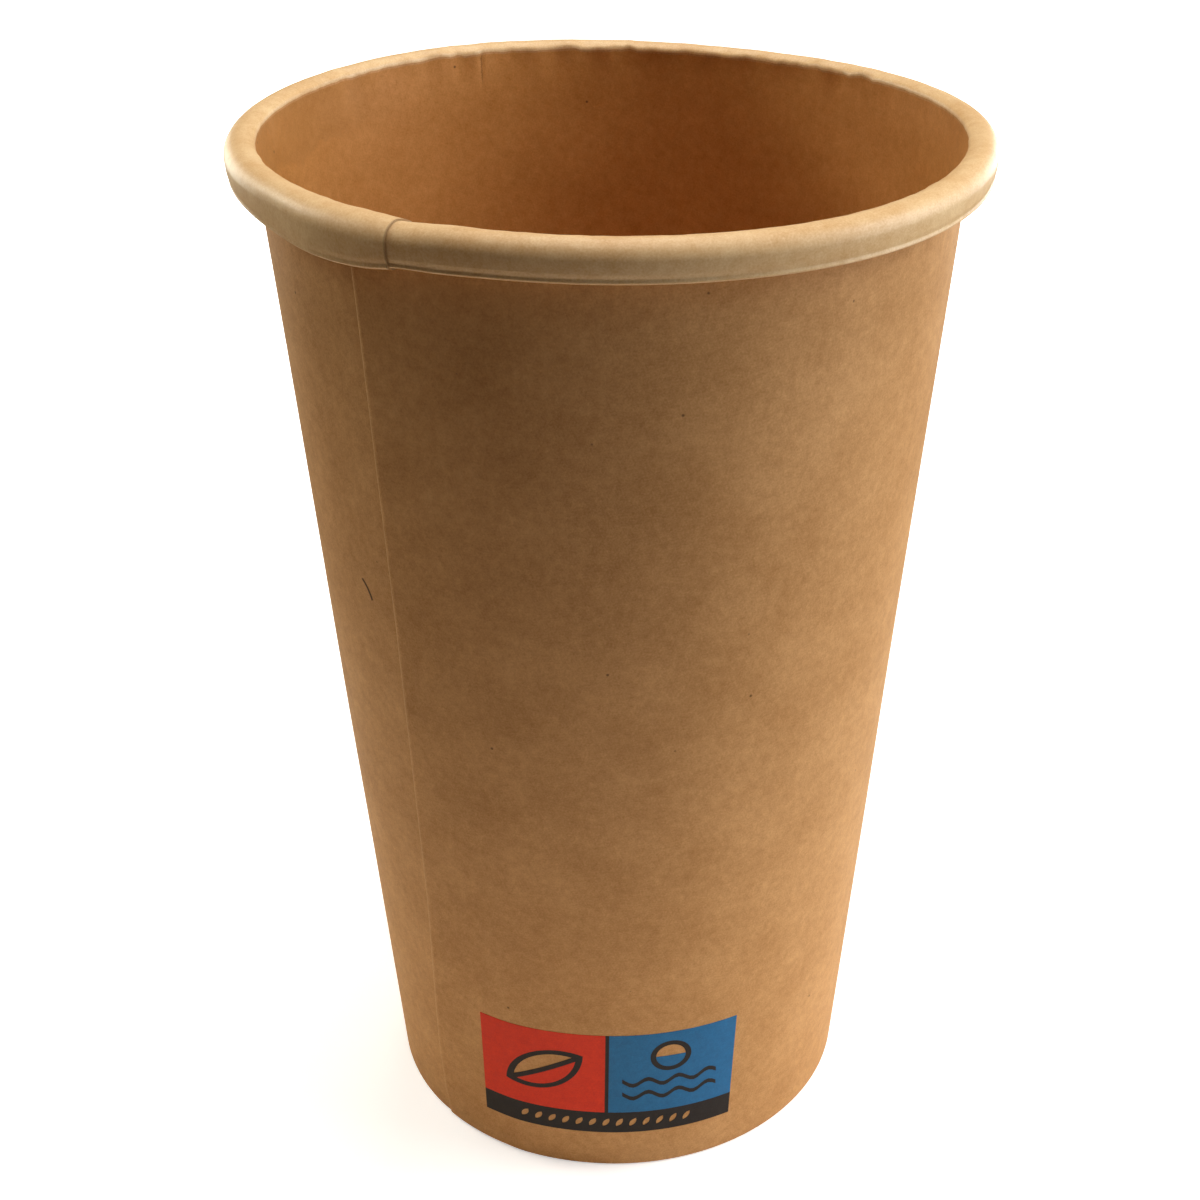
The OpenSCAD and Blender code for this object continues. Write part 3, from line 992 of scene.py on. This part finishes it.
def white_floor():
    bpy.ops.mesh.primitive_plane_add(size=3.0, location=(0, 0, 0))
    floor = bpy.context.object
    floor.name = "table_top"
    finish = Finish("table_white", Roughness=0.9, Specular_IOR_Level=0.2, Emission_Strength=1.0)
    away = finish.node("VectorMath", {"operation": "LENGTH"}, {0: finish.node("TexCoord", out=3)}, out=1)
    seen = finish.node("LightPath")
    bounced = finish.mix(away.above(TABLE_R * MM, 2 * TABLE_R * MM), paint("#FFF2E0"), paint("#6C5A4C"))
    glow = (NEAR_GLOW + away.above(*GLOW_GROWS) * MORE_GLOW) * seen
    finish.feed(Base_Color=finish.mix(seen, bounced, paint("#F4F4F2")),
                Emission_Color=finish.mix(glow, paint("#000000"), paint("#FFFFFF")))
    floor.data.materials.append(finish.material)
    return floor


print(white_floor().name, "laid")

# %% [markdown]
# ## World
# The room gives almost no light of its own, because the lamps below do the lighting. What the camera
# sees past the floor is plain white, so the world's colour depends on the kind of ray.

# %% Room and background
world = bpy.data.worlds.new("studio")
world.use_nodes = True
bpy.context.scene.world = world
ROOM_LIGHT, BACKDROP = 0.02, 1.0
sky = Nodes(world.node_tree)
room = sky.node("Background", None, {"Color": (1, 0.97, 0.93, 1), "Strength": ROOM_LIGHT})
seen_white = sky.node("Background", None, {"Color": (1, 1, 1, 1), "Strength": BACKDROP})
pick = sky.node("MixShader", None, {0: sky.node("LightPath"), 1: room, 2: seen_white})
sky.link(pick, world.node_tree.nodes["World Output"].inputs["Surface"])
print("room light", ROOM_LIGHT)

# %% [markdown]
# ## Soft lamps
# The light in the photograph is strong from the right, weaker from the back left, and soft from
# above, and it leaves the front of the wall in shade. Square lamps give that. Each is named for the
# side that it stands on. Those on the right are plain white and those on the left and above a little
# warmer. A small card near the foot throws light up at the front.


# %% Lamps
def soft_lamp(name, turn, height, away, size, watts, colour=(1, 1, 1), aim=70):
    """A square lamp on the cup's circle: turn from the front in degrees, the rest in mm."""
    lamp = bpy.data.lights.new(name, "AREA")
    lamp.size = size * MM
    lamp.energy = watts
    lamp.color = colour
    obj = bpy.data.objects.new(name, lamp)
    a = math.radians(turn)
    obj.location = Vector((away * math.sin(a), -away * math.cos(a), height)) * MM
    obj.rotation_euler = (Vector((0, 0, aim * MM)) - obj.location).to_track_quat("-Z", "Y").to_euler()
    bpy.context.scene.collection.objects.link(obj)
    return obj


COOL, WARM, DUSK = (0.93, 0.97, 1.0), (1, 0.98, 0.84), (1, 0.86, 0.74)
soft_lamp("right_low", 75, 90, 600, 240, 1.0, COOL)
soft_lamp("right_front_high", 75, 520, 600, 240, 0.8, COOL)
soft_lamp("right_mid", 95, 260, 600, 240, 1.4, COOL)
soft_lamp("right_high", 95, 520, 600, 240, 1.6, COOL)
soft_lamp("back_right", 140, 90, 600, 240, 1.3, COOL)
soft_lamp("back_left_high", -113, 400, 600, 240, 1.8, WARM)
soft_lamp("back_left_low", -138, 120, 600, 240, 1.1, WARM)
soft_lamp("right_top", 90, 850, 300, 260, 1.1, DUSK)
soft_lamp("left_top", -90, 850, 300, 260, 0.6, DUSK)
soft_lamp("front_top", 0, 870, 220, 260, 0.3, DUSK)
soft_lamp("overhead", 0, 900, 50, 260, 1.9, DUSK)
soft_lamp("back_top", 180, 760, 420, 240, 1.2)
soft_lamp("foot_card", 5, 25, 130, 80, 0.009, aim=15).visible_camera = False

# %% [markdown]
# ## Camera
# The camera stands where the photographer stood, found from the outlines of the wall, the foot and
# the rim: close, a little above, and tilted by a hair. A small shift frames the cup as in the picture.

# %% Camera
camera = bpy.data.cameras.new("camera")
camera.sensor_width = 36
camera.lens = 57.516
camera.shift_x, camera.shift_y = -0.07127, 0.00028
camera.clip_start, camera.clip_end = 0.01, 20
eye = bpy.data.objects.new("camera", camera)
bpy.context.scene.collection.objects.link(eye)
bpy.context.scene.camera = eye
PITCH, YAW, ROLL = 0.50085, 0.04095, 0.01435
ahead = Vector((math.sin(YAW) * math.cos(PITCH), math.cos(YAW) * math.cos(PITCH), -math.sin(PITCH)))
right = ahead.cross(Vector((0, 0, 1))).normalized()
up = right.cross(ahead)
right, up = right * math.cos(ROLL) + up * math.sin(ROLL), up * math.cos(ROLL) - right * math.sin(ROLL)
STOOD_AT = Vector((0, -224.42, 193.43)) * MM
eye.matrix_world = Matrix.Translation(STOOD_AT) @ Matrix((right, up, -ahead)).transposed().to_4x4()

bpy.context.scene.view_settings.view_transform = "Standard"
print("camera at", [round(v / MM, 1) for v in eye.location])
